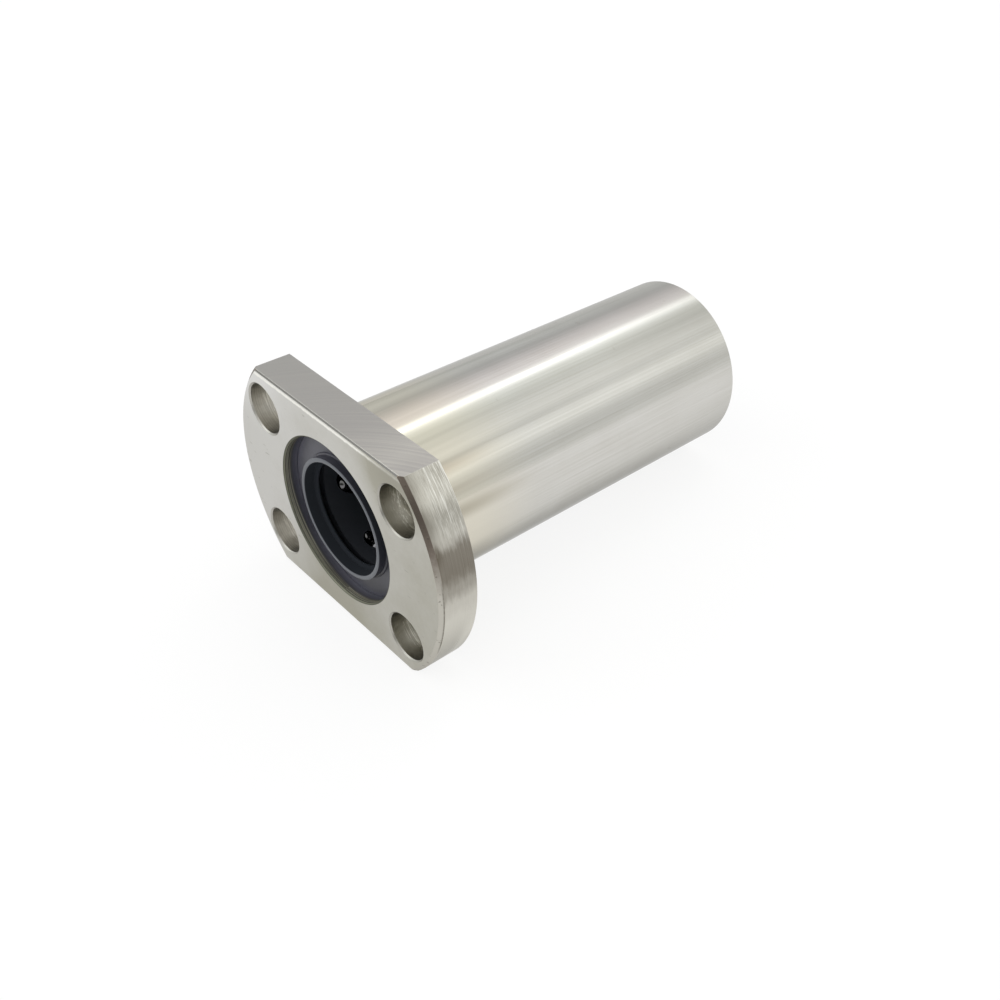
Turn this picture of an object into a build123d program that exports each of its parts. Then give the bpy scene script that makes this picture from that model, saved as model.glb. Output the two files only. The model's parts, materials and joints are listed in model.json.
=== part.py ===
from build123d import *
import math
import os

# Flanged linear ball bearing, long type, for a 16 mm shaft. All sizes in millimetres.
# Each piece is drawn with the bearing axis along Z and the front face at Z = 0, and placed at the end.

# Sleeve: a round flange with two flats on one end of a long barrel
bearing_length = 70.0
sleeve_wall = 2.775  # behind the loaded balls' raceway
barrel_end_chamfer = 0.5
flange_diameter = 48.0
flange_flats = 34.0
flange_thickness = 6.0
flange_chamfer = 0.6
flat_edge_break = 0.25

# Four counterbored screw holes, midway between the barrel and the flange's rim
hole_angle = 35.36  # of each hole from the flange's long direction
screw_hole_diameter = 4.5
counterbore_diameter = 7.5
counterbore_depth = 4.1
counterbore_chamfer = 0.2

# Shaft and balls
shaft_diameter = 16.0
ball_diameter = 3.175
circuits = 5
first_circuit_angle = 163.0
return_lift = 1.0125  # how much further out the returning balls run than the loaded ones
turn_radius = 2.6  # of the balls' path round each end of a circuit
ball_spacing_gap = 0.15  # between neighbouring balls
ball_travel = 0.8  # each way, before the first ball of a straight run meets the turn

# End of the sleeve, from the outside in
end_recess = 2.3
recess_chamfer = 0.2
seal_thickness = 0.75
ring_groove_width = 0.8
ring_groove_depth = 0.5
seat_wall = 1.3  # sleeve wall round the seal and the cage collar
collar_thickness = 0.9
end_wall = 1.5  # cage wall past the ball turns
least_cage_gap = 1.0  # between the two cages in the middle

# Retaining ring
ring_thickness = 0.7
ring_width = 1.2
ring_split_angle = 24.0

# Seal section: a flat washer with a neck that stands out round the shaft and a lip behind it
seal_neck_gap = 0.7  # between the shaft and the neck's mouth
seal_neck_wall = 0.65
seal_neck_reach = 1.55  # in front of the washer's face
seal_neck_crown = 0.1  # how much the rounded mouth rises over its edges
seal_foot_round = 0.3
seal_edge_round = 0.1
seal_lip_start = 0.35  # behind the washer's face
seal_lip_land = 0.2
seal_lip_slope = 0.2  # fall of the lip's front from the neck's bore to the shaft
seal_back_opening = 0.4

# Clearances
raceway_clearance = 0.05  # loaded ball to raceway
pocket_clearance = 0.08  # ball to cage pocket
groove_clearance = 0.0625  # returning ball to the sleeve's groove or relief
cage_clearance = 0.12  # cage body to raceway
bore_clearance = 0.45  # cage bore to shaft, so that the loaded balls stand proud
seat_clearance = 0.02  # seal in its seat
collar_clearance = 0.1  # cage collar in its seat
ring_clearance = 0.1  # ring in its groove, measured along the radius
end_play = 0.05  # of the cage, along the axis
land_setback = 0.5  # the raceway stops this much inside the end of a straight run

# Circuit geometry worked out from the sizes above
ball_radius = ball_diameter / 2
load_radius = shaft_diameter / 2 + ball_radius
return_radius = load_radius + return_lift
ball_pitch = ball_diameter + ball_spacing_gap
pocket_radius = ball_radius + pocket_clearance
circuit_angle = math.degrees(
    math.acos(
        (load_radius**2 + return_radius**2 - (2 * turn_radius) ** 2)
        / (2 * load_radius * return_radius)
    )
)
turn_half_angle = math.asin(ball_pitch / (2 * turn_radius))
first_ball_inset = (
    math.sqrt(ball_pitch**2 - (turn_radius * (1 - math.sin(turn_half_angle))) ** 2)
    - turn_radius * math.cos(turn_half_angle)
)

# Places along the axis, measured in from either end
seal_start = end_recess
groove_start = seal_start + seal_thickness + seat_clearance
groove_end = groove_start + ring_groove_width
cage_start = groove_end + end_play
seat_end = cage_start + collar_thickness + end_play
turn_reach = end_wall + pocket_radius + turn_radius
straight_room = bearing_length / 2 - least_cage_gap / 2 - cage_start - 2 * turn_reach
balls_in_row = int((straight_room - 2 * first_ball_inset) / ball_pitch) + 1
straight_length = (balls_in_row - 1) * ball_pitch + 2 * first_ball_inset
cage_length = straight_length + 2 * turn_reach
circuit_middle = cage_start + cage_length / 2

# Radii inside the sleeve, its barrel and the screw holes
raceway_radius = load_radius + ball_radius + raceway_clearance
barrel_diameter = 2 * (raceway_radius + sleeve_wall)
seat_radius = barrel_diameter / 2 - seat_wall
return_groove_radius = ball_radius + groove_clearance
relief_radius = return_radius + return_groove_radius
cage_radius = raceway_radius - cage_clearance
cage_bore_radius = shaft_diameter / 2 + bore_clearance
hole_circle = (barrel_diameter + flange_diameter) / 2
hole_spacing_long = hole_circle * math.cos(math.radians(hole_angle))
hole_spacing_short = hole_circle * math.sin(math.radians(hole_angle))

end_names = ["front", "rear"]
mirror_plane = Plane.XY.offset(bearing_length / 2)
placement = Location((0, -flange_thickness, 0), (-90, 0, 0))


def ring_of(points):
    """A solid of revolution about Z from (radius, depth) points."""
    outline = Plane.XZ * Polyline(*[(r, z) for r, z in points], close=True)
    return revolve(make_face(outline), Axis.Z)


def at_end(shape, end):
    """The shape as drawn for the front end, or mirrored for the rear end."""
    return shape if end == "front" else mirror(shape, about=mirror_plane)


def circuit_plane(number):
    """Plane of one ball circuit: X along the bearing, Y from the loaded run to the returning one."""
    load_angle = math.radians(first_circuit_angle + number * 360 / circuits)
    return_angle = load_angle + math.radians(circuit_angle)
    load_point = Vector(math.cos(load_angle), math.sin(load_angle)) * load_radius
    return_point = Vector(math.cos(return_angle), math.sin(return_angle)) * return_radius
    middle = (load_point + return_point) * 0.5 + Vector(0, 0, circuit_middle)
    across = (return_point - load_point).normalized()
    along = Vector(0, 0, -1)
    return Plane(origin=middle, x_dir=along, z_dir=along.cross(across))


def return_groove_angle(number):
    return first_circuit_angle + circuit_angle + number * 360 / circuits


def flange():
    """Round disc with a chamfered front edge, cut to two flats whose front edges are just broken."""
    disc = extrude(Circle(flange_diameter / 2), flange_thickness)
    disc = chamfer(disc.edges().group_by(Axis.Z)[0], flange_chamfer)
    flats = extrude(Rectangle(flange_diameter, flange_flats), flange_thickness)
    flats = chamfer(
        flats.edges().group_by(Axis.Z)[0].filter_by(Axis.X), flat_edge_break
    )
    return disc & flats


def barrel():
    tube = extrude(Circle(barrel_diameter / 2), bearing_length)
    return chamfer(tube.edges().group_by(Axis.Z)[-1], barrel_end_chamfer)


def screw_hole():
    drill = extrude(Circle(screw_hole_diameter / 2), flange_thickness)
    pocket = extrude(Circle(counterbore_diameter / 2), counterbore_depth)
    edge = Cone(
        counterbore_diameter / 2 + counterbore_chamfer,
        counterbore_diameter / 2,
        counterbore_chamfer,
        align=(Align.CENTER, Align.CENTER, Align.MIN),
    )
    return drill + pocket + edge


def sleeve_cavity():
    """Seats, ring grooves, turn reliefs and raceways, as one turned shape for both ends."""
    land_start = cage_start + turn_reach + land_setback
    land_end = land_start + straight_length - 2 * land_setback
    profile = [
        (seat_radius + recess_chamfer, 0),
        (seat_radius, recess_chamfer),
        (seat_radius, groove_start),
        (seat_radius + ring_groove_depth, groove_start),
        (seat_radius + ring_groove_depth, groove_end),
        (seat_radius, groove_end),
        (seat_radius, seat_end),
        (relief_radius, seat_end),
        (relief_radius, land_start),
        (raceway_radius, land_start),
        (raceway_radius, land_end),
        (relief_radius, land_end),
    ]
    other_end = [(r, bearing_length - z) for r, z in reversed(profile)]
    cavity = ring_of([(0, 0)] + profile + other_end + [(0, bearing_length)])
    groove = extrude(Circle(return_groove_radius), bearing_length - 2 * seat_end)
    for number in range(circuits):
        angle = return_groove_angle(number)
        cavity += Rot(0, 0, angle) * Pos(return_radius, 0, seat_end) * groove
    return cavity


def flanged_sleeve():
    body = flange() + barrel()
    holes = GridLocations(hole_spacing_long, hole_spacing_short, 2, 2) * screw_hole()
    return body - holes - sleeve_cavity()


def pocket_section(side):
    """Section of a ball pocket: round at the bottom, straight sides open to the outside."""
    rise = barrel_diameter / 2 - load_radius
    walls = Pos(0, rise / 2) * Rectangle(2 * pocket_radius, rise)
    return Plane.YZ * Pos(side * turn_radius, 0) * (Circle(pocket_radius) + walls)


def ball_pocket():
    """Racetrack pocket of one circuit, in the circuit's own plane."""
    half = straight_length / 2
    track = Part()
    for side in (-1, 1):
        section = pocket_section(side)
        track += extrude(section, half, both=True)
        turn_axis = Axis((-side * half, 0, 0), (0, 0, 1))
        track += revolve(Pos(-side * half, 0, 0) * section, turn_axis, 180)
    return track


def cage():
    """Resin cage: a tube with an end collar and one racetrack pocket for each circuit."""
    collar_radius = seat_radius - collar_clearance
    end = cage_start + cage_length
    body = ring_of(
        [
            (cage_bore_radius, cage_start),
            (collar_radius, cage_start),
            (collar_radius, cage_start + collar_thickness),
            (cage_radius, cage_start + collar_thickness),
            (cage_radius, end),
            (cage_bore_radius, end),
        ]
    )
    pocket = ball_pocket()
    for number in range(circuits):
        body -= circuit_plane(number).location * pocket
    return body


def retaining_ring():
    """Flat split ring, sprung into the groove behind the seal."""
    outer = seat_radius + ring_groove_depth - ring_clearance
    start = groove_start + (ring_groove_width - ring_thickness) / 2
    arc = 360 - ring_split_angle
    section = Plane.XZ * Pos(outer - ring_width / 2, start + ring_thickness / 2)
    section *= Rectangle(ring_width, ring_thickness)
    return Rot(0, 0, ring_split_angle / 2 + 90) * revolve(section, Axis.Z, arc)


def seal():
    """Rubber seal: a flat washer, a neck with a rounded mouth and a thin lip that touches the shaft."""
    outer = seat_radius - seat_clearance
    face = seal_start
    back = seal_start + seal_thickness
    lip = shaft_diameter / 2
    lip_start = face + seal_lip_start
    neck_inner = lip + seal_neck_gap
    neck_outer = neck_inner + seal_neck_wall
    neck_edge = face - seal_neck_reach + seal_neck_crown
    mouth_middle = ((neck_inner + neck_outer) / 2, face - seal_neck_reach)
    with BuildPart() as body:
        with BuildSketch(Plane.XZ):
            with BuildLine():
                ThreePointArc((neck_inner, neck_edge), mouth_middle, (neck_outer, neck_edge))
                Line((neck_outer, neck_edge), (neck_outer, face - seal_foot_round))
                RadiusArc(
                    (neck_outer, face - seal_foot_round),
                    (neck_outer + seal_foot_round, face),
                    -seal_foot_round,
                )
                Line((neck_outer + seal_foot_round, face), (outer - seal_edge_round, face))
                RadiusArc(
                    (outer - seal_edge_round, face),
                    (outer, face + seal_edge_round),
                    seal_edge_round,
                )
                Polyline(
                    (outer, face + seal_edge_round),
                    (outer, back),
                    (lip + seal_back_opening, back),
                    (lip, lip_start + seal_lip_land),
                    (lip, lip_start),
                    (neck_inner, lip_start - seal_lip_slope),
                    (neck_inner, neck_edge),
                )
            make_face()
        revolve(axis=Axis.Z)
    return body.part


def straight_balls(side):
    """The balls of one straight run, in the circuit's own plane."""
    first = -straight_length / 2 + first_ball_inset
    return [
        Pos(first + i * ball_pitch, side * turn_radius, 0) * Sphere(ball_radius)
        for i in range(balls_in_row)
    ]


def turn_balls(end):
    """The two balls of one turn, in the circuit's own plane."""
    return [
        Pos(
            end * (straight_length / 2 + turn_radius * math.cos(turn_half_angle)),
            side * turn_radius * math.sin(turn_half_angle),
            0,
        )
        * Sphere(ball_radius)
        for side in (-1, 1)
    ]


ball_groups = {
    "load_balls": straight_balls(-1),
    "return_balls": straight_balls(1),
    "outer_turn_balls": turn_balls(1),
    "inner_turn_balls": turn_balls(-1),
}


def placed(solids):
    return Compound([s for shape in solids for s in (placement * shape).solids()])


def save(name, solids):
    export_step(placed(solids), f"parts/{name}.step")


def main():
    os.makedirs("parts", exist_ok=True)
    save("flanged_sleeve", [flanged_sleeve()])
    end_pieces = {"cage": cage(), "retaining_ring": retaining_ring(), "seal": seal()}
    for end in end_names:
        for name, piece in end_pieces.items():
            save(f"{end}_{name}", [at_end(piece, end)])
        for number in range(circuits):
            plane = circuit_plane(number)
            for name, balls in ball_groups.items():
                group = [at_end(plane.location * ball, end) for ball in balls]
                save(f"{end}_{name}_{number + 1}", group)


main()
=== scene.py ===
import bpy
import json
import math
from mathutils import Matrix, Vector


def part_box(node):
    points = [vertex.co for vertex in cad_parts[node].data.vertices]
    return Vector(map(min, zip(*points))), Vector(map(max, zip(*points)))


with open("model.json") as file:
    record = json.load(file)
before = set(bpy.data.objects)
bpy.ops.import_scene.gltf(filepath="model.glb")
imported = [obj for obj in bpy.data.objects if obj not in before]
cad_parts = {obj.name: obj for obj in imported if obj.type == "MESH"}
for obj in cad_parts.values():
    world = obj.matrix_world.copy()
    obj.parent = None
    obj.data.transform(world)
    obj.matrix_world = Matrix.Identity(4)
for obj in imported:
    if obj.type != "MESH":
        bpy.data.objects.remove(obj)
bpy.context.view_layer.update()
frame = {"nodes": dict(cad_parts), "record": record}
nodes = frame["nodes"]
mm = 0.001

# Sizes of the bearing that the finishes need, in millimetres, most of them from the frame
dims = {mount["name"]: mount["dims"] for mount in frame["record"]["mounts"]}
sleeveLow, sleeveHigh = [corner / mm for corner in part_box("flanged_sleeve")]
sealLow, sealHigh = [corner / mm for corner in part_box("front_seal")]
bearing = {
    "barrelRadius": dims["barrel"]["r_mm"],
    "rimRadius": sleeveHigh.x,
    "flatHeight": sleeveHigh.z,
    "frontFace": sleeveLow.y,
    "rearEnd": sleeveHigh.y,
    "holeAcross": dims["flange_screws"]["spacing_x_mm"] / 2,
    "holeUp": dims["flange_screws"]["spacing_y_mm"] / 2,
    "seatRadius": sealHigh.x,
    "neckMouth": sealLow.y,
    "counterboreRadius": 3.75,  # this and the two below repeat the part's own values
    "rimChamfer": 0.6,
    "neckBore": 8.7,
}


class Wire:
    # a socket that sums like a number, each operator adding its Math node
    def __init__(self, graph, socket):
        self.graph = graph
        self.socket = socket

    def maths(self, operation, *values):
        return self.graph.node("Math", {"operation": operation}, dict(enumerate(values)))

    def __add__(self, other):
        return self.maths("ADD", self, other)

    __radd__ = __add__

    def __sub__(self, other):
        return self.maths("SUBTRACT", self, other)

    def __rsub__(self, other):
        return self.maths("SUBTRACT", other, self)

    def __mul__(self, other):
        return self.maths("MULTIPLY", self, other)

    __rmul__ = __mul__

    def __truediv__(self, other):
        return self.maths("DIVIDE", self, other)

    def __pow__(self, other):
        return self.maths("POWER", self, other)

    def __abs__(self):
        return self.maths("ABSOLUTE", self)

    def root(self):
        return self.maths("SQRT", self)

    def least(self, other):
        return self.maths("MINIMUM", self, other)

    def most(self, other):
        return self.maths("MAXIMUM", self, other)

    def angleTo(self, other):
        return self.maths("ARCTAN2", self, other)

    def step(self, edge, soft):
        # 0 below the edge and 1 above it, with a soft ramp between
        limits = {"Value": self, "From Min": edge - soft, "From Max": edge + soft}
        return self.graph.node("MapRange", {"interpolation_type": "SMOOTHSTEP"}, limits)

    def band(self, low, high, soft):
        # 1 between two edges
        return self.step(low, soft) * (1 - self.step(high, soft))

    def hump(self, centre, width):
        # 1 at the centre, falling to 0 at the width on either side
        return 1 - (abs(self - centre) / width).step(0.5, 0.5)

    def swing(self, amount):
        # a noise from 0 to 1 becomes a change of half the amount either way
        return (self - 0.5) * amount


class Graph:
    # one node tree, filled through node()
    def __init__(self, tree):
        self.tree = tree

    def node(self, kind, settings=None, sockets=None, output=0):
        made = self.tree.nodes.new("ShaderNode" + kind)
        for name, value in (settings or {}).items():
            if name == "stops":
                self.setStops(made.color_ramp, value)
            elif name == "interpolation":
                made.color_ramp.interpolation = value
            else:
                setattr(made, name, value)
        for name, value in (sockets or {}).items():
            self.feed(made.inputs[name], value)
        return Wire(self, made.outputs[output])

    def feed(self, socket, value):
        if isinstance(value, Wire):
            self.tree.links.new(value.socket, socket)
        else:
            socket.default_value = value

    def setStops(self, ramp, stops):
        while len(ramp.elements) < len(stops):
            ramp.elements.new(1)
        for element, (place, value) in zip(ramp.elements, stops):
            element.position = place
            element.color = (*value, 1) if isinstance(value, tuple) else (value, value, value, 1)

    def split(self, vector):
        made = self.node("SeparateXYZ", sockets={0: vector}).socket.node
        return [Wire(self, out) for out in made.outputs]

    def blend(self, factor, first, second):
        # mixes two colours
        colours = [value if isinstance(value, Wire) else (*value, 1) for value in (first, second)]
        return self.node("Mix", {"data_type": "RGBA"}, {0: factor, 6: colours[0], 7: colours[1]}, 2)

    def curve(self, value, points):
        # a smooth curve through (value, level) points, each level a colour or a grey from 0 to 1
        low, high = points[0][0], points[-1][0]
        stops = [((at - low) / (high - low), level) for at, level in points]
        settings = {"stops": stops, "interpolation": "EASE"}
        return self.node("ValToRGB", settings, {"Fac": (value - low) / (high - low)})

    def place(self, x, y, z=0.0):
        return self.node("CombineXYZ", sockets={"X": x, "Y": y, "Z": z})

    def noise(self, place, scale=1.0, detail=3.0, roughness=0.6):
        values = {"Vector": place, "Scale": scale, "Detail": detail, "Roughness": roughness}
        return self.node("TexNoise", sockets=values)


class Finish(Graph):
    # a material on a Principled shader, with its place in the bearing in millimetres
    def __init__(self, name, **constants):
        self.material = bpy.data.materials.new(name)
        self.material.use_nodes = True
        super().__init__(self.material.node_tree)
        self.shader = self.tree.nodes["Principled BSDF"]
        for socket, value in constants.items():
            self.shader.inputs[socket.replace("_", " ")].default_value = value
        metres = self.node("TexCoord", output="Object")
        self.spot = self.node("VectorMath", {"operation": "SCALE"}, {0: metres, "Scale": 1 / mm})
        self.x, self.y, self.z = self.split(self.spot)
        self.radius = (self.x * self.x + self.z * self.z).root()
        self.angle = self.x.angleTo(self.z) * (180 / math.pi)

    def lines(self, scales, detail=3.0, roughness=0.6):
        # noise by the degree round the axis and by the millimetre along it
        perDegree, perMm = scales
        return self.noise(self.place(self.angle * perDegree, self.y * perMm), 1.0, detail, roughness)

    def surface(self, colour, roughness):
        self.feed(self.shader.inputs["Base Color"], colour)
        self.feed(self.shader.inputs["Roughness"], roughness)

    def output(self, shader):
        self.feed(self.tree.nodes["Material Output"].inputs["Surface"], shader)

    def bump(self, height, depth, below=None):
        # a height from 0 to 1 stands for the depth in millimetres
        sockets = {"Height": height, "Distance": depth * mm, "Strength": 1.0}
        if below is not None:
            sockets["Normal"] = below
        return self.node("Bump", sockets=sockets)

    def wear(self, normal, *objects):
        self.feed(self.shader.inputs["Normal"], normal)
        for piece in objects:
            piece.data.materials.clear()
            piece.data.materials.append(self.material)


print("finishes")

nickel = {
    "bright": (0.64, 0.63, 0.60),
    "shade": (0.56, 0.545, 0.505),
    "flangeReflection": (0.50, 0.43, 0.34),
    "clouds": (0.14, 3.0, 0.55),  # scale, detail and roughness of its broad noise
}
# how far the masks stand from the edges that they follow, and how soft they are, in millimetres
masks = {"soft": 0.02, "fine": 0.01, "skin": 0.03, "hole": 0.23, "recess": 0.24, "flatEdge": 0.28}


def sleeveZones(steel):
    # masks for the sleeve's own surfaces, each 0 or 1 with a hair's breadth between
    soft, fine, skin = masks["soft"], masks["fine"], masks["skin"]
    front, height, rimRadius = bearing["frontFace"], bearing["flatHeight"], bearing["rimRadius"]
    across = abs(steel.x) - bearing["holeAcross"]
    up = abs(steel.z) - bearing["holeUp"]
    toHole = (across ** 2 + up ** 2).root()
    inFlange = 1 - steel.y.step(-soft, soft)
    hole = (1 - toHole.step(bearing["counterboreRadius"] + masks["hole"], soft)) * inFlange
    recess = 1 - steel.radius.step(bearing["seatRadius"] + masks["recess"], soft)
    rim = steel.radius.step(rimRadius - skin, soft)
    flat = abs(steel.z).step(height - skin, soft)
    mounting = 1 - abs(steel.y).step(soft, fine)
    face = (1 - steel.y.step(front + soft, fine) + mounting) * (1 - hole) * (1 - recess)
    bevelled = (1 - steel.y.step(front + bearing["rimChamfer"], soft)) * (1 - face) * (1 - flat)
    chamfer = steel.radius.step(rimRadius - bearing["rimChamfer"], soft) * bevelled
    return {
        "toHole": toHole,
        "hole": hole,
        "recess": recess,
        "rim": rim,
        "flat": flat,
        "face": face,
        "chamfer": chamfer,
        "edge": abs(steel.z).step(height - masks["flatEdge"], soft) * bevelled * (1 - chamfer),
        "barrel": steel.y.step(soft, soft) * (1 - recess),
    }


ground = {
    "roughness": 0.09,
    "rougher": 0.0022,  # with each millimetre from the flange
    "depth": 0.0012,
    "shadeBase": 0.35,  # how far its plain colour stands from bright to shade
    "streakiness": (2.2, 1.4, 0.8),  # of the streaks, the threads and the clouds
    # colours of the painted reflection and shade from the flange, of the painted shade underneath and at the
    # far end, and of the scuffs
    "warmReflection": (0.665, 0.63, 0.54),
    "underShade": (0.42, 0.41, 0.38),
    "dull": (0.44, 0.43, 0.40),
    "scuffed": (0.42, 0.41, 0.37),
    "darkBrown": (0.36, 0.33, 0.26),
    # noise scales, by the degree round the axis and by the millimetre along it
    "streaks": (0.9, 0.02),
    "threads": (3.2, 0.05),
    "scuffs": (0.10, 0.75),
    "scuffsOver": (0.775, 0.03),  # the level of noise that makes a scuff, and its softness
    "scuffShare": 0.5,
    "rubs": (0.35, 0.05),
    "grinding": (0.02, 6.0),
    # bands along the barrel: the middle in degrees from straight up, and half the width
    "farShadeBand": (20.0, 34.0),
    "flangeReflectionBand": (48.0, 6.0),
    "flangeReflectionLine": (61.0, 5.0),
    "flangeReflectionDarkBand": (74.0, 8.0),
    "flangeReflectionDarkSide": (116.0, 19.0),
    "underShadeBand": (116.0, 20.0),
    # how strongly they show
    "farShadeShare": 0.6,
    "flangeReflectionBandShare": 0.8,
    "flangeReflectionLineShare": 0.35,
    "flangeReflectionDarkShare": 0.8,
    "underShadeShare": 0.65,
    # how far from the flange they end or begin, in millimetres, and how softly
    "flangeReflectionEnd": (9.0, 9.0),
    "flangeReflectionDarkEnd": (13.0, 11.0),
    "warmReflectionEnd": (14.0, 8.0),
    "underShadeEnd": (48.0, 16.0),
    "farShadeStart": (50.0, 14.0),
}


def barrelFinish(steel):
    # ground round the axis, with faint bands along it, painted reflection and shade from the flange next to
    # it, painted shade on its underside and over its upper side at the far end
    clouds = steel.noise(steel.spot, *nickel["clouds"])
    streaks = steel.lines(ground["streaks"], 4.0, 0.7)
    threads = steel.lines(ground["threads"])
    ofStreaks, ofThreads, ofClouds = ground["streakiness"]
    shade = streaks.swing(ofStreaks) + threads.swing(ofThreads) + clouds.swing(ofClouds)
    colour = steel.blend(shade + ground["shadeBase"], nickel["bright"], nickel["shade"])
    # painted reflection of the flange: warmer next to it all round
    colour = steel.blend(1 - steel.y.step(*ground["warmReflectionEnd"]), colour, ground["warmReflection"])
    # painted reflection and shade from the flange: brown bands next to it
    near = 1 - steel.y.step(*ground["flangeReflectionEnd"])
    flangeReflectionBand = steel.angle.hump(*ground["flangeReflectionBand"]) * ground["flangeReflectionBandShare"]
    flangeReflectionLine = steel.angle.hump(*ground["flangeReflectionLine"]) * ground["flangeReflectionLineShare"]
    colour = steel.blend((flangeReflectionBand + flangeReflectionLine) * near, colour, nickel["flangeReflection"])
    # painted shade over the upper side at the far end, dimming the highlight there
    far = steel.angle.hump(*ground["farShadeBand"]) * steel.y.step(*ground["farShadeStart"])
    colour = steel.blend(far * ground["farShadeShare"], colour, ground["dull"])
    # painted reflection and shade from the flange: dark brown bands next to it, one at the side and one
    # lower down
    darkBrown = steel.angle.hump(*ground["flangeReflectionDarkBand"]) * (1 - steel.y.step(*ground["flangeReflectionDarkEnd"]))
    colour = steel.blend(darkBrown * ground["flangeReflectionDarkShare"], colour, ground["darkBrown"])
    colour = steel.blend(steel.angle.hump(*ground["flangeReflectionDarkSide"]) * near, colour, ground["darkBrown"])
    # painted shade on the underside, fading out towards the far end
    under = abs(steel.angle).hump(*ground["underShadeBand"]) * (1 - steel.y.step(*ground["underShadeEnd"]))
    under = under * ground["underShadeShare"] * (0.4 + clouds)
    colour = steel.blend(under, colour, ground["underShade"])
    # a few small scuffs, as from handling
    scuff = steel.lines(ground["scuffs"], 1.0, 0.4).step(*ground["scuffsOver"])
    colour = steel.blend(scuff * ground["scuffShare"], colour, ground["scuffed"])
    rubbed = steel.lines(ground["rubs"])
    roughness = ground["roughness"] + steel.y * ground["rougher"] + rubbed.swing(0.10) + scuff * 0.1
    return colour, roughness, steel.lines(ground["grinding"]), ground["depth"]


frontFace = {
    "colour": (0.67, 0.66, 0.63),
    "shade": (0.435, 0.42, 0.355),
    "pale": (0.83, 0.825, 0.81),
    "markAndShade": (0.30, 0.285, 0.24),
    "shine": (1.0, 0.99, 0.93),
    "roughness": 0.36,
    "grain": 7.0,
    "depth": 0.003,
    "shadeBase": 0.30,  # how far its plain colour stands from pale to shade
    "shadeLean": (0.019, 0.006),  # with each millimetre to the right and down
    "mottle": (1.3, 4.0, 0.65),  # scale, detail and roughness of its noise
    "cloudiness": (0.7, 0.25),  # of the clouds and the mottle
    # painted light and shade patches: place across and up and reach in millimetres, then strength
    "shadePatches": [(15.0, 17.0, 10.0, 1.3), (-4.0, -18.0, 19.0, 0.8)],
    "lightPatch": (-19.0, 18.0, 13.0, 0.9),
    "cornerShadePatch": (15.5, 16.5, 7.0, 0.45),
    "marks": (0.5, 1.6),  # noise scales across and up
    "marksOver": (0.74, 0.03),  # the level of noise that makes a mark, and its softness
    "markShare": 0.35,
    # the painted highlight under the flat's edge, in millimetres
    "shineBelow": 0.58,
    "shineWidth": 0.38,
    "shineEnd": (10.0, 5.0),  # across, and how softly
    "shineLost": 0.75,  # past its end
    "shineDepth": (1.0, 0.5),  # from the front face, and how softly
    "nibble": (1.1, 0.35),  # noise scale across, and millimetres: the line moves half of them either way
}


def patch(steel, x, z, reach, strength):
    # full at a place on the face, falling to 0 at the reach
    distance = ((steel.x - x) ** 2 + (steel.z - z) ** 2).root()
    return (1 - (distance / reach).step(0.5, 0.5)) * strength


def faceFinish(steel):
    # satin, with painted light to its upper left and painted shade to its right, its bottom and its upper
    # right corner, and a few handling marks
    clouds = steel.noise(steel.spot, *nickel["clouds"])
    mottle = steel.noise(steel.spot, *frontFace["mottle"])
    toRight, down = frontFace["shadeLean"]
    ofClouds, ofMottle = frontFace["cloudiness"]
    # painted shade, growing to the right and down, with patches of it by the upper right corner and at the
    # bottom
    shade = steel.x * toRight - steel.z * down + frontFace["shadeBase"]
    shade = shade + clouds.swing(ofClouds) + mottle.swing(ofMottle)
    for shadeSpot in frontFace["shadePatches"]:
        shade = shade + patch(steel, *shadeSpot)
    colour = steel.blend(shade, frontFace["colour"], frontFace["shade"])
    # painted light at the upper left, and painted shade at the upper right corner
    colour = steel.blend(patch(steel, *frontFace["lightPatch"]), colour, frontFace["pale"])
    colour = steel.blend(patch(steel, *frontFace["cornerShadePatch"]), colour, frontFace["markAndShade"])
    across, up = frontFace["marks"]
    marks = steel.noise(steel.place(steel.x * across, steel.z * up), 1.0, 1.0, 0.4)
    marks = marks.step(*frontFace["marksOver"]) * frontFace["markShare"]
    colour = steel.blend(marks, colour, frontFace["markAndShade"])
    # painted highlight just below the upper flat's edge
    across, moved = frontFace["nibble"]
    nibble = steel.noise(steel.place(steel.x * across, 0.0))
    height = bearing["flatHeight"] - frontFace["shineBelow"]
    shine = (steel.z + nibble.swing(moved)).hump(height, frontFace["shineWidth"])
    shine = shine * (1 - steel.x.step(*frontFace["shineEnd"]) * frontFace["shineLost"])
    inward, soft = frontFace["shineDepth"]
    shine = shine * (1 - steel.y.step(bearing["frontFace"] + inward, soft))
    colour = steel.blend(shine * (0.45 + nibble * 1.2), colour, frontFace["shine"])
    grain = steel.noise(steel.spot, frontFace["grain"])
    return colour, frontFace["roughness"] + grain.swing(0.16), grain, frontFace["depth"]


milled = {
    "colour": (0.49, 0.478, 0.452),
    "pale": (0.80, 0.78, 0.70),
    # painted shade for the flats' bevelled edges
    "edge": (0.16, 0.155, 0.145),
    "roughness": 0.30,
    "cutter": (29.5, -25.8),  # middle of the end mill's sweeps, across and along
    "pitch": 0.8,
    "depth": 0.006,
    "specks": 3.0,
    # where its right part begins, in millimetres across, and how softly
    "plainFrom": (4.0, 9.0),
    "paleFrom": (11.0, 9.0),
    "cornerFrom": (14.5, 2.0),
    "paleShare": 0.5,
    "cornerShare": 0.25,
}


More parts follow.
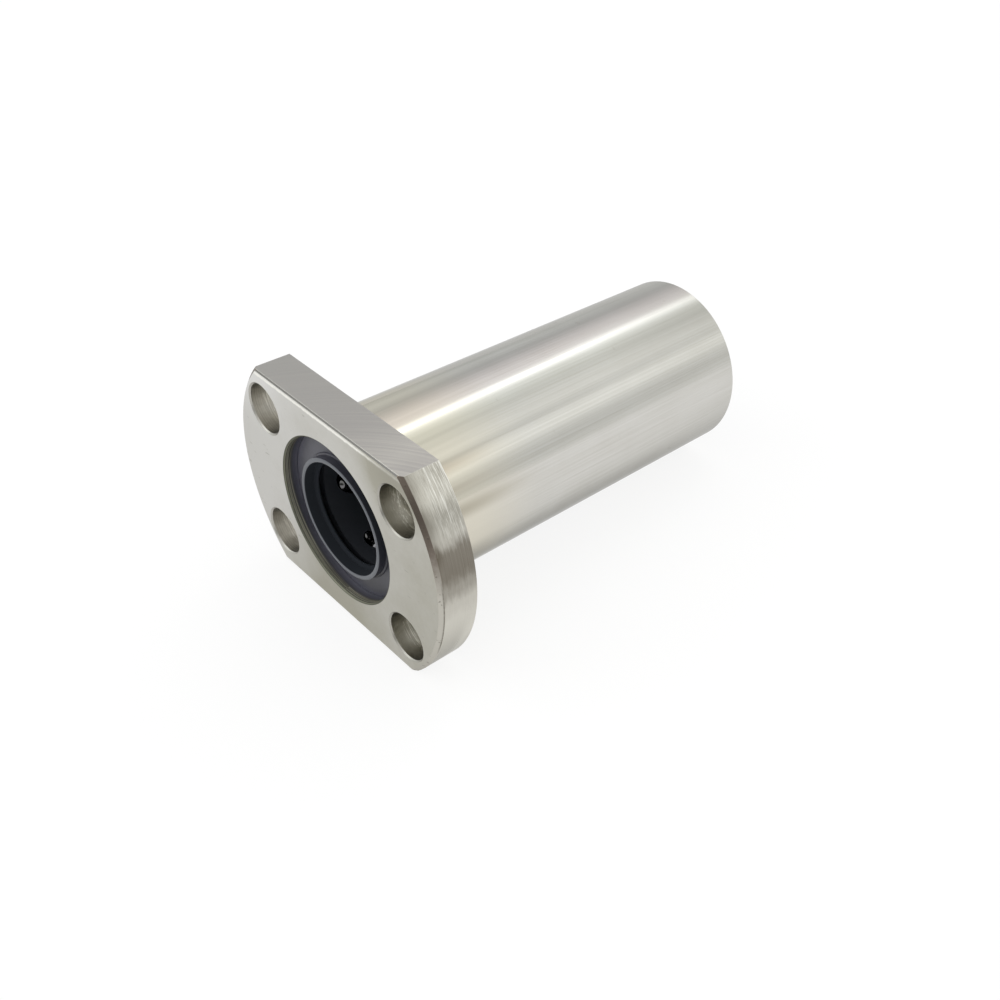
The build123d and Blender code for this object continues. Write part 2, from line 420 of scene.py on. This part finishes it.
def flatFinish(steel):
    # the end mill's sweeps, plainest to the right, where the flat is also palest
    cutterX, cutterY = milled["cutter"]
    sweep = ((steel.x - cutterX) ** 2 + (steel.y - cutterY) ** 2).root()
    lines = steel.noise(steel.place(sweep / milled["pitch"] * 2, steel.x * 0.03))
    specks = steel.noise(steel.spot, milled["specks"])
    plain = steel.x.step(*milled["plainFrom"])
    pale = steel.x.step(*milled["paleFrom"]) * milled["paleShare"]
    shade = pale - steel.x.step(*milled["cornerFrom"]) * milled["cornerShare"]
    shade = shade + lines.swing(0.3 + plain * 0.9) + specks.swing(0.12) + 0.05
    colour = steel.blend(shade, milled["colour"], milled["pale"])
    return colour, milled["roughness"] + lines.swing(0.12), lines * (0.35 + plain * 0.65), milled["depth"]


turned = {
    # painted light and shade: brightness by degrees from straight up
    "levels": [
        (40, 0.70),
        (48, 0.60),
        (54, 0.72),
        (60, 0.52),
        (66, 0.66),
        (72, 0.20),
        (79, 0.18),
        (85, 0.38),
        (91, 0.68),
        (98, 0.80),
        (118, 0.72),
    ],
    "bright": (0.775, 0.755, 0.685),
    "dark": (0.085, 0.066, 0.042),
    "line": (0.92, 0.91, 0.86),
    "roughness": 0.30,
    "pitch": 0.42,
    "depth": 0.006,
    # noise scales, by the degree round the axis and by the millimetre along it
    "patches": (0.12, 0.5),
    "bandWobbles": (0.15, 1.2),
    "chatter": (0.22, 7.0),
    "bandWobble": 7.0,  # the painted bands' edges stray half of this either way, in degrees
    # levels of noise that make a patch, a line or a stroke, and their softness
    "patchesOver": (0.45, 0.15),
    "linesOver": (0.60, 0.05),
    "brightOver": (0.56, 0.06),
    "dullUnder": (0.42, 0.06),
    # how strongly they show
    "lineShare": 0.6,
    "brightShare": 0.35,
    "dullShare": 0.24,
    "shadeShare": 0.28,
    "paleShare": 0.5,
    # stretches in degrees from straight up, and their softness
    "shadeStretch": (30.0, 72.0, 6.0),
    "chatterStretch": (38.0, 68.0, 6.0),
    "paleFrom": (108.0, 12.0),
    # places along the axis in millimetres, and their softness
    "shadeEnd": (1.2, 1.0),  # from the front face
    "chatterFrom": (-3.6, 0.8),
    "paleBehind": (-1.6, 1.4),
}


def rimFinish(steel):
    # turned, so its lines run round it, in patches, between broad bands of painted light and shade
    around = abs(steel.angle)
    wave = steel.noise(steel.place(steel.angle * 0.03, steel.y / turned["pitch"] * 2), 1.0, 2.0, 0.5)
    patchy = steel.lines(turned["patches"]).step(*turned["patchesOver"])
    bandWobble = steel.lines(turned["bandWobbles"]).swing(turned["bandWobble"])
    level = steel.curve(abs(steel.angle + bandWobble), turned["levels"])
    # painted shade over the upper sides by the front face, and painted light on the underside behind
    shadeEnd, soft = turned["shadeEnd"]
    front = 1 - steel.y.step(bearing["frontFace"] + shadeEnd, soft)
    level = level - front * around.band(*turned["shadeStretch"]) * turned["shadeShare"]
    back = steel.y.step(*turned["paleBehind"]) * around.step(*turned["paleFrom"])
    level = level + back * turned["paleShare"]
    colour = steel.blend(level + wave.swing(0.12), turned["dark"], turned["bright"])
    # the tool's chatter breaks its lines into short bright and dull strokes
    chatter = steel.lines(turned["chatter"], 3.0, 0.65)
    upper = around.band(*turned["chatterStretch"])
    lines = wave.step(*turned["linesOver"]) * turned["lineShare"]
    lines = lines + chatter.step(*turned["brightOver"]) * turned["brightShare"]
    colour = steel.blend(lines * upper * steel.y.step(*turned["chatterFrom"]), colour, turned["line"])
    dull = (1 - chatter.step(*turned["dullUnder"])) * upper * turned["dullShare"]
    colour = steel.blend(dull, colour, turned["dark"])
    return colour, turned["roughness"] + wave.swing(0.14), wave * (0.3 + patchy * 0.7), turned["depth"]


bevel = {
    "dark": (0.18, 0.15, 0.125),
    "pale": (0.53, 0.51, 0.455),
    "nick": (0.10, 0.09, 0.07),
    "roughness": 0.34,
    "depth": 0.004,
    # degrees from straight up, and their softness
    "darkBrownFrom": (40.0, 5.0),
    "darkBrownTo": (78.0, 12.0),
    "lineStretch": (82.0, 112.0, 5.0),
    "line": (0.12, 0.06),  # in from the rim, and its softness, in millimetres
    "wobble": (0.9, 5.0),  # noise scale, and degrees: the dark brown stretch strays half of them either way
    # noise scales, by the degree round the axis and by the millimetre out from it
    "grain": (0.8, 3.0),
    "nicks": (0.5, 1.5),
    "nicksOver": (0.68, 0.03),  # the level of noise that makes a nick, and its softness
    "nickShare": 0.5,
}


def chamferFinish(steel):
    # dark brown over part of its round, and pale like the face elsewhere
    scale, strays = bevel["wobble"]
    around = abs(steel.angle + steel.noise(steel.spot, scale).swing(strays))
    darkBrown = around.step(*bevel["darkBrownFrom"]) * (1 - around.step(*bevel["darkBrownTo"]))
    perDegree, perMm = bevel["grain"]
    grain = steel.noise(steel.place(steel.angle * perDegree, steel.radius * perMm))
    colour = steel.blend(darkBrown * (0.85 + grain * 0.3), bevel["pale"], bevel["dark"])
    perDegree, perMm = bevel["nicks"]
    nick = steel.noise(steel.place(steel.angle * perDegree, steel.radius * perMm), 1.0, 2.0, 0.5)
    nick = nick.step(*bevel["nicksOver"]) * bevel["nickShare"]
    inward, soft = bevel["line"]
    line = steel.radius.step(bearing["rimRadius"] - inward, soft)
    line = line * abs(steel.angle).band(*bevel["lineStretch"])
    colour = steel.blend(nick + line * (0.3 + grain * 0.7), colour, bevel["nick"])
    return colour, bevel["roughness"] + grain.swing(0.1), grain, bevel["depth"]


bored = {
    "colour": (0.86, 0.84, 0.79),
    "shade": (0.36, 0.345, 0.315),
    # painted shade for the right-hand holes
    "dull": (0.42, 0.405, 0.35),
    # the colour of the painted glints
    "bright": (1.0, 0.99, 0.94),
    # painted shade for the counterbore rims
    "rim": (0.40, 0.39, 0.35),
    "roughness": 0.32,
    "pitch": 0.34,
    "depth": 0.02,
    "patches": 0.7,
    "outward": 4.0,  # noise scale of its lines, out from the hole's middle
    "glints": (5.5, 2.0, 0.35),  # noise scales, along and out from the hole's middle, and round the bearing
    "glintsOver": (0.57, 0.06),  # the level of noise that makes a spark, and its softness
    "glintShare": 0.75,
    "rimShadeShare": 0.8,
    "rightShadeFrom": (0.0, 4.0),  # millimetres across, and how softly
    "glintFrom": (1.8, 0.8),  # millimetres in from the front face, and how softly
}


def holeFinish(steel, toHole):
    # the drill's and counterbore's lines run round each hole, with painted glints deep inside, painted shade
    # in the right-hand holes and painted shade on the counterbore rims
    drill = steel.noise(steel.place(steel.y / bored["pitch"] * 2, toHole * bored["outward"]), 1.0, 2.0, 0.5)
    patches = steel.noise(steel.spot, bored["patches"])
    colour = steel.blend(drill.swing(1.2) + patches * 0.7, bored["colour"], bored["shade"])
    # painted shade: the right-hand holes darker
    colour = steel.blend(steel.x.step(*bored["rightShadeFrom"]) * (1.2 - drill), colour, bored["dull"])
    # painted glints deep in the hole
    inward, soft = bored["glintFrom"]
    deep = steel.y.step(bearing["frontFace"] + inward, soft)
    along, out, around = bored["glints"]
    glint = steel.noise(steel.place(steel.y * along, toHole * out, steel.angle * around))
    glint = glint.step(*bored["glintsOver"]) * deep * bored["glintShare"]
    colour = steel.blend(glint, colour, bored["bright"])
    # painted shade on the counterbore rims, toning down their highlight
    bevelled = toHole.step(bearing["counterboreRadius"] + masks["skin"], masks["soft"])
    colour = steel.blend(bevelled * bored["rimShadeShare"], colour, bored["rim"])
    return colour, bored["roughness"] + drill.swing(0.2), drill, bored["depth"]


seat = {
    # painted light and shade: colours by the depth from the front face, in millimetres
    "levels": [
        (0.00, (0.11, 0.115, 0.09)),
        (0.20, (0.20, 0.20, 0.15)),
        (0.38, (0.85, 0.84, 0.67)),
        (0.55, (0.66, 0.65, 0.50)),
        (0.80, (0.68, 0.655, 0.51)),
        (1.05, (0.52, 0.50, 0.42)),
        (1.30, (0.27, 0.265, 0.29)),
        (1.60, (0.34, 0.34, 0.40)),
        (2.30, (0.52, 0.52, 0.60)),
    ],
    "pale": (1.0, 0.97, 0.80),
    "dark": (0.08, 0.08, 0.055),
    "roughness": 0.42,
    "depth": 0.006,
    "rings": (5.5, 0.01),  # noise scales, by the millimetre along the axis and by the degree round it
    "ringed": (0.3, 1.15, 0.15),  # from and to, by the depth, and how softly
    # levels of noise that make a pale or a dark ring and their softness, and how strongly each shows
    "paleOver": (0.56, 0.03),
    "paleShare": 0.7,
    "darkUnder": (0.44, 0.03),
    "darkShare": 0.6,
}


def seatFinish(steel):
    # fine rings by depth from the front face, as the boring tool left them, over painted light and shade by
    # depth that turns bluish dark near the seal
    depth = (steel.y - bearing["frontFace"]).least(seat["levels"][-1][0])
    along, around = seat["rings"]
    ring = steel.noise(steel.place(steel.y * along, steel.angle * around), 1.0, 2.0, 0.5)
    shallow = depth.band(*seat["ringed"])
    # painted light and shade by the depth, bluish dark near the seal
    colour = steel.curve(depth, seat["levels"])
    pale = ring.step(*seat["paleOver"]) * shallow * seat["paleShare"]
    colour = steel.blend(pale, colour, seat["pale"])
    dark = (1 - ring.step(*seat["darkUnder"])) * shallow * seat["darkShare"]
    colour = steel.blend(dark, colour, seat["dark"])
    return colour, seat["roughness"] + ring.swing(0.1), ring, seat["depth"]


def platedSteel():
    steel = Finish("satinNickel", Metallic=1.0, Specular_Tint=(0.62, 0.62, 0.61, 1.0))
    zone = sleeveZones(steel)
    colour, roughness, relief, depth = barrelFinish(steel)
    normal = steel.bump(relief * zone["barrel"], depth)
    worn = {
        "face": faceFinish(steel),
        "rim": rimFinish(steel),
        "flat": flatFinish(steel),
        "chamfer": chamferFinish(steel),
        "hole": holeFinish(steel, zone["toHole"]),
        "recess": seatFinish(steel),
    }
    for name, (tint, gloss, marks, marksDepth) in worn.items():
        colour = steel.blend(zone[name], colour, tint)
        roughness = roughness * (1 - zone[name]) + zone[name] * gloss
        normal = steel.bump(marks * zone[name], marksDepth, normal)
    # painted shade on the flats' bevelled edges, darker than the steel
    colour = steel.blend(zone["edge"], colour, milled["edge"])
    roughness = roughness + zone["edge"] * 0.2
    steel.surface(colour, roughness)
    steel.wear(normal, nodes["flanged_sleeve"])


rubber = {
    "colour": (0.056, 0.056, 0.074),
    "deep": (0.034, 0.034, 0.048),
    "lit": (0.100, 0.100, 0.126),
    "worn": (0.112, 0.120, 0.137),
    # colour of the painted shadow in the neck's bore and on the right side
    "inside": (0.031, 0.035, 0.042),
    "roughness": 0.42,
    "shadowRoughness": 0.6,
    "grain": 6.0,
    "dust": 0.5,
    "depth": 0.004,
    "mouth": (0.14, 0.06),  # how far in the rubbed edge goes, in millimetres, and how softly
    # sides in degrees from straight up, and half their width
    "litSide": (-55.0, 75.0),
    "shadowSide": (62.0, 62.0),
}


def sealRubber():
    seal = Finish("nitrileRubber", Specular_IOR_Level=0.5)
    grain = seal.noise(seal.spot, rubber["grain"])
    dust = seal.noise(seal.spot, rubber["dust"])
    # the neck's mouth is paler, at the front and at the rear
    middle = (bearing["frontFace"] + bearing["rearEnd"]) / 2
    inward, soft = rubber["mouth"]
    mouth = abs(seal.y - middle).step(middle - bearing["neckMouth"] - inward, soft)
    colour = seal.blend(dust + grain.swing(0.4), rubber["deep"], rubber["colour"])
    colour = seal.blend(seal.angle.hump(*rubber["litSide"]) * (0.5 + dust), colour, rubber["lit"])
    seal.surface(seal.blend(mouth, colour, rubber["worn"]), rubber["roughness"] + grain.swing(0.15))
    seal.wear(seal.bump(grain, rubber["depth"]), nodes["front_seal"], nodes["rear_seal"])
    # painted shadow: the neck's bore, the lip and the right side turn to a dull black diffuse shader
    dullColour = (*rubber["inside"], 1)
    dull = seal.node("BsdfDiffuse", None, {"Color": dullColour, "Roughness": rubber["shadowRoughness"]})
    neckBore = bearing["neckBore"] + masks["soft"]
    inside = (1 - seal.radius.step(neckBore, masks["fine"])) * (1 - mouth * 0.5)
    shadowed = inside.most(seal.angle.hump(*rubber["shadowSide"]) * (1 - mouth) * 0.8)
    seal.output(seal.node("MixShader", None, {0: shadowed, 1: Wire(seal, seal.shader.outputs[0]), 2: dull}))


resin = {"colour": (0.023, 0.0255, 0.031), "lighter": 1.6, "roughness": 0.42, "grain": 4.0, "depth": 0.003}


def cageResin():
    cage = Finish("cageResin", Specular_IOR_Level=0.5)
    grain = cage.noise(cage.spot, resin["grain"])
    light = tuple(resin["lighter"] * part for part in resin["colour"])
    cage.surface(cage.blend(grain, resin["colour"], light), resin["roughness"] + grain.swing(0.2))
    cage.wear(cage.bump(grain, resin["depth"]), nodes["front_cage"], nodes["rear_cage"])


polished = {
    # darker than bare steel: painted shade for the dark bore they lie in
    "colour": (0.16, 0.16, 0.17),
    "oiled": (0.13, 0.125, 0.12),
    "roughness": 0.04,
    "film": 1.5,
    "depth": 0.0005,
}


def ballSteel():
    balls = Finish("bearingSteel", Metallic=1.0)
    film = balls.noise(balls.spot, polished["film"])
    # painted shade: the balls' steel kept dark
    colour = balls.blend(film, polished["colour"], polished["oiled"])
    balls.surface(colour, polished["roughness"] + film * 0.04)
    wearers = [piece for name, piece in nodes.items() if "balls" in name]
    balls.wear(balls.bump(film, polished["depth"]), *wearers)


sprung = {
    "colour": (0.40, 0.39, 0.38),
    "pale": (0.50, 0.49, 0.47),
    "roughness": 0.3,
    "depth": 0.002,
    "brushing": (8.0, 0.03),  # noise scales, out from the axis and by the degree round it
}


def springSteel():
    spring = Finish("springSteel", Metallic=1.0)
    out, around = sprung["brushing"]
    brushed = spring.noise(spring.place(spring.radius * out, spring.angle * around, spring.y))
    colour = spring.blend(brushed, sprung["colour"], sprung["pale"])
    spring.surface(colour, sprung["roughness"] + brushed.swing(0.2))
    rings = nodes["front_retaining_ring"], nodes["rear_retaining_ring"]
    spring.wear(spring.bump(brushed, sprung["depth"]), *rings)


platedSteel()
sealRubber()
cageResin()
ballSteel()
springSteel()

print("floor, lights and camera")

paper = {
    "halfSize": 1.5,  # in metres
    "colour": (0.88, 0.88, 0.88),
    "darker": 0.99,
    "fibres": 0.3,
    "roughness": 0.9,
    "glow": 1.05,
    "share": 0.78,  # of the glow, for the rays that should meet white
}


def background(graph):
    # 1 for the rays that should meet the white background: seen, mirrored or seen through
    rays = graph.node("LightPath").socket.node
    kinds = ("Camera", "Glossy", "Transmission")
    seen, mirrored, through = [Wire(graph, rays.outputs[f"Is {kind} Ray"]) for kind in kinds]
    return seen.most(mirrored).most(through)


def floor():
    # the bearing lies on its lower flat's rear edge and the end of its barrel
    tilt = math.atan2(bearing["flatHeight"] - bearing["barrelRadius"], bearing["rearEnd"])
    size = paper["halfSize"]
    mesh = bpy.data.meshes.new("floor")
    corners = [(-size, -size, 0), (size, -size, 0), (size, size, 0), (-size, size, 0)]
    mesh.from_pydata(corners, [], [(0, 1, 2, 3)])
    sheet = bpy.data.objects.new("floor", mesh)
    bpy.context.scene.collection.objects.link(sheet)
    turn = Matrix.Rotation(tilt, 4, "X")
    sheet.matrix_world = Matrix.Translation((0, 0, -bearing["flatHeight"] * mm)) @ turn
    white = Finish("paper")
    fibres = white.noise(white.spot, paper["fibres"])
    shade = tuple(paper["darker"] * part for part in paper["colour"])
    white.surface(white.blend(fibres, paper["colour"], shade), paper["roughness"])
    glow = white.node("Emission", None, {"Color": (1, 1, 1, 1), "Strength": paper["glow"]})
    diffuse = Wire(white, white.shader.outputs[0])
    white.output(white.node("MixShader", None, {0: background(white) * paper["share"], 1: diffuse, 2: glow}))
    mesh.materials.append(white.material)


# The light round the bearing's axis: degrees from straight up, towards its right, and strength
tent = [
    (-110, 0.63),
    (-86, 0.84),
    (-77, 0.87),
    (-63, 0.66),
    (-53, 0.73),
    (-44, 0.90),
    (-36, 1.00),
    (-30, 1.02),
    (-25, 1.20),
    (-18.5, 2.60),
    (-13, 1.40),
    (-8, 1.10),
    (-3, 1.00),
    (6, 0.86),
    (14, 0.95),
    (31, 1.08),
    (39, 0.86),
    (46, 1.06),
    (56, 1.22),
    (65, 0.84),
    (80, 0.78),
    (90, 0.87),
    (98, 1.02),
    (180, 1.02),
]
# and its casts, pinkish above the streak and yellowish below it
casts = [
    (-90, (0.98, 1.00, 1.00)),
    (-66, (0.98, 1.00, 1.01)),
    (-48, (1.00, 0.97, 0.99)),
    (-30, (1.00, 0.965, 0.98)),
    (-16, (0.975, 1.00, 1.00)),
    (-5, (0.975, 1.00, 0.96)),
    (20, (0.99, 1.00, 0.975)),
    (90, (0.99, 1.00, 0.98)),
    (110, (0.995, 1.00, 1.01)),
]
studio = {
    "strongest": 2.8,
    "lean": 0.083,  # how far the tent turns along the bearing, and where it stands straight
    "straightAt": 0.56,
    "folds": (90.0, 0.8),  # noise scales, round the bearing and along it
    "foldDepth": 0.5,
    "frontFrom": (-0.05, 0.25),
    "frontLevel": 0.95,
    # a black flag and a window: direction, level, and the degrees where each is full and where it ends
    "flag": (0.61, -0.79, 0.05),
    "flagLevel": 0.16,
    "flagReach": (12, 30),
    "window": (-0.55, -0.66, 0.51),
    "windowLevel": 1.7,
    "windowReach": (14, 26),
}


def toward(sky, direction, aim, full, end):
    # 1 where the direction points at the aim, falling to 0 between two angles
    settings = {"operation": "DOT_PRODUCT"}
    near = sky.node("VectorMath", settings, {0: direction, 1: Vector(aim).normalized()}, "Value")
    limits = {
        "Value": near,
        "From Min": math.cos(math.radians(end)),
        "From Max": math.cos(math.radians(full)),
    }
    return sky.node("MapRange", {"interpolation_type": "SMOOTHSTEP"}, limits)


def surroundings():
    world = bpy.data.worlds.new("studio")
    bpy.context.scene.world = world
    world.use_nodes = True
    sky = Graph(world.node_tree)
    direction = sky.node("TexCoord", output="Generated")
    across, along, up = sky.split(direction)
    turn = across.angleTo(up) / (2 * math.pi) + 0.5 + (along - studio["straightAt"]) * studio["lean"]
    stops = [(0.5 + degrees / 360, level / studio["strongest"]) for degrees, level in tent]
    level = sky.node("ValToRGB", {"stops": stops}, {"Fac": turn}) * studio["strongest"]
    foldsRound, foldsAlong = studio["folds"]
    folds = sky.noise(sky.place(turn * foldsRound, along * foldsAlong), 1.0, 4.0, 0.7)
    level = level * (1 + folds.swing(studio["foldDepth"]))
    front = 1 - along.step(*studio["frontFrom"])
    flag = toward(sky, direction, studio["flag"], *studio["flagReach"])
    window = toward(sky, direction, studio["window"], *studio["windowReach"])
    for mask, name in ((front, "frontLevel"), (flag, "flagLevel"), (window, "windowLevel")):
        level = level * (1 - mask) + mask * studio[name]
    # the camera itself sees plain white
    seen = sky.node("LightPath", output="Is Camera Ray")
    light = sky.node("Mix", {"data_type": "FLOAT"}, {0: seen, 2: level, 3: 1.0})
    tints = [(0.5 + degrees / 360, tint) for degrees, tint in casts]
    cast = sky.node("ValToRGB", {"stops": tints}, {"Fac": turn})
    lamp = world.node_tree.nodes["Background"]
    sky.feed(lamp.inputs["Strength"], light)
    sky.feed(lamp.inputs["Color"], sky.blend(seen, cast, (1.0, 1.0, 1.0)))


view = {
    "eye": (104.074, -64.912, 93.166),  # in millimetres
    "forward": (-0.53635, 0.52307, -0.66237),
    "up": (-0.50286, 0.43225, 0.74853),
    "lens": 38.138,
    "sensor": 36.0,
    "shift": (-0.05, 0.08),
    "nearest": 5.0,  # in millimetres
}


def camera():
    data = bpy.data.cameras.new("camera")
    data.lens = view["lens"]
    data.sensor_width = view["sensor"]
    data.shift_x, data.shift_y = view["shift"]
    data.clip_start = view["nearest"] * mm
    eye = bpy.data.objects.new("camera", data)
    bpy.context.scene.collection.objects.link(eye)
    back = -Vector(view["forward"]).normalized()
    right = Vector(view["up"]).cross(back).normalized()
    turn = Matrix((right, back.cross(right), back)).transposed().to_4x4()
    eye.matrix_world = Matrix.Translation(Vector(view["eye"]) * mm) @ turn
    bpy.context.scene.camera = eye


floor()
surroundings()
camera()
bpy.context.scene.view_settings.view_transform = "Standard"
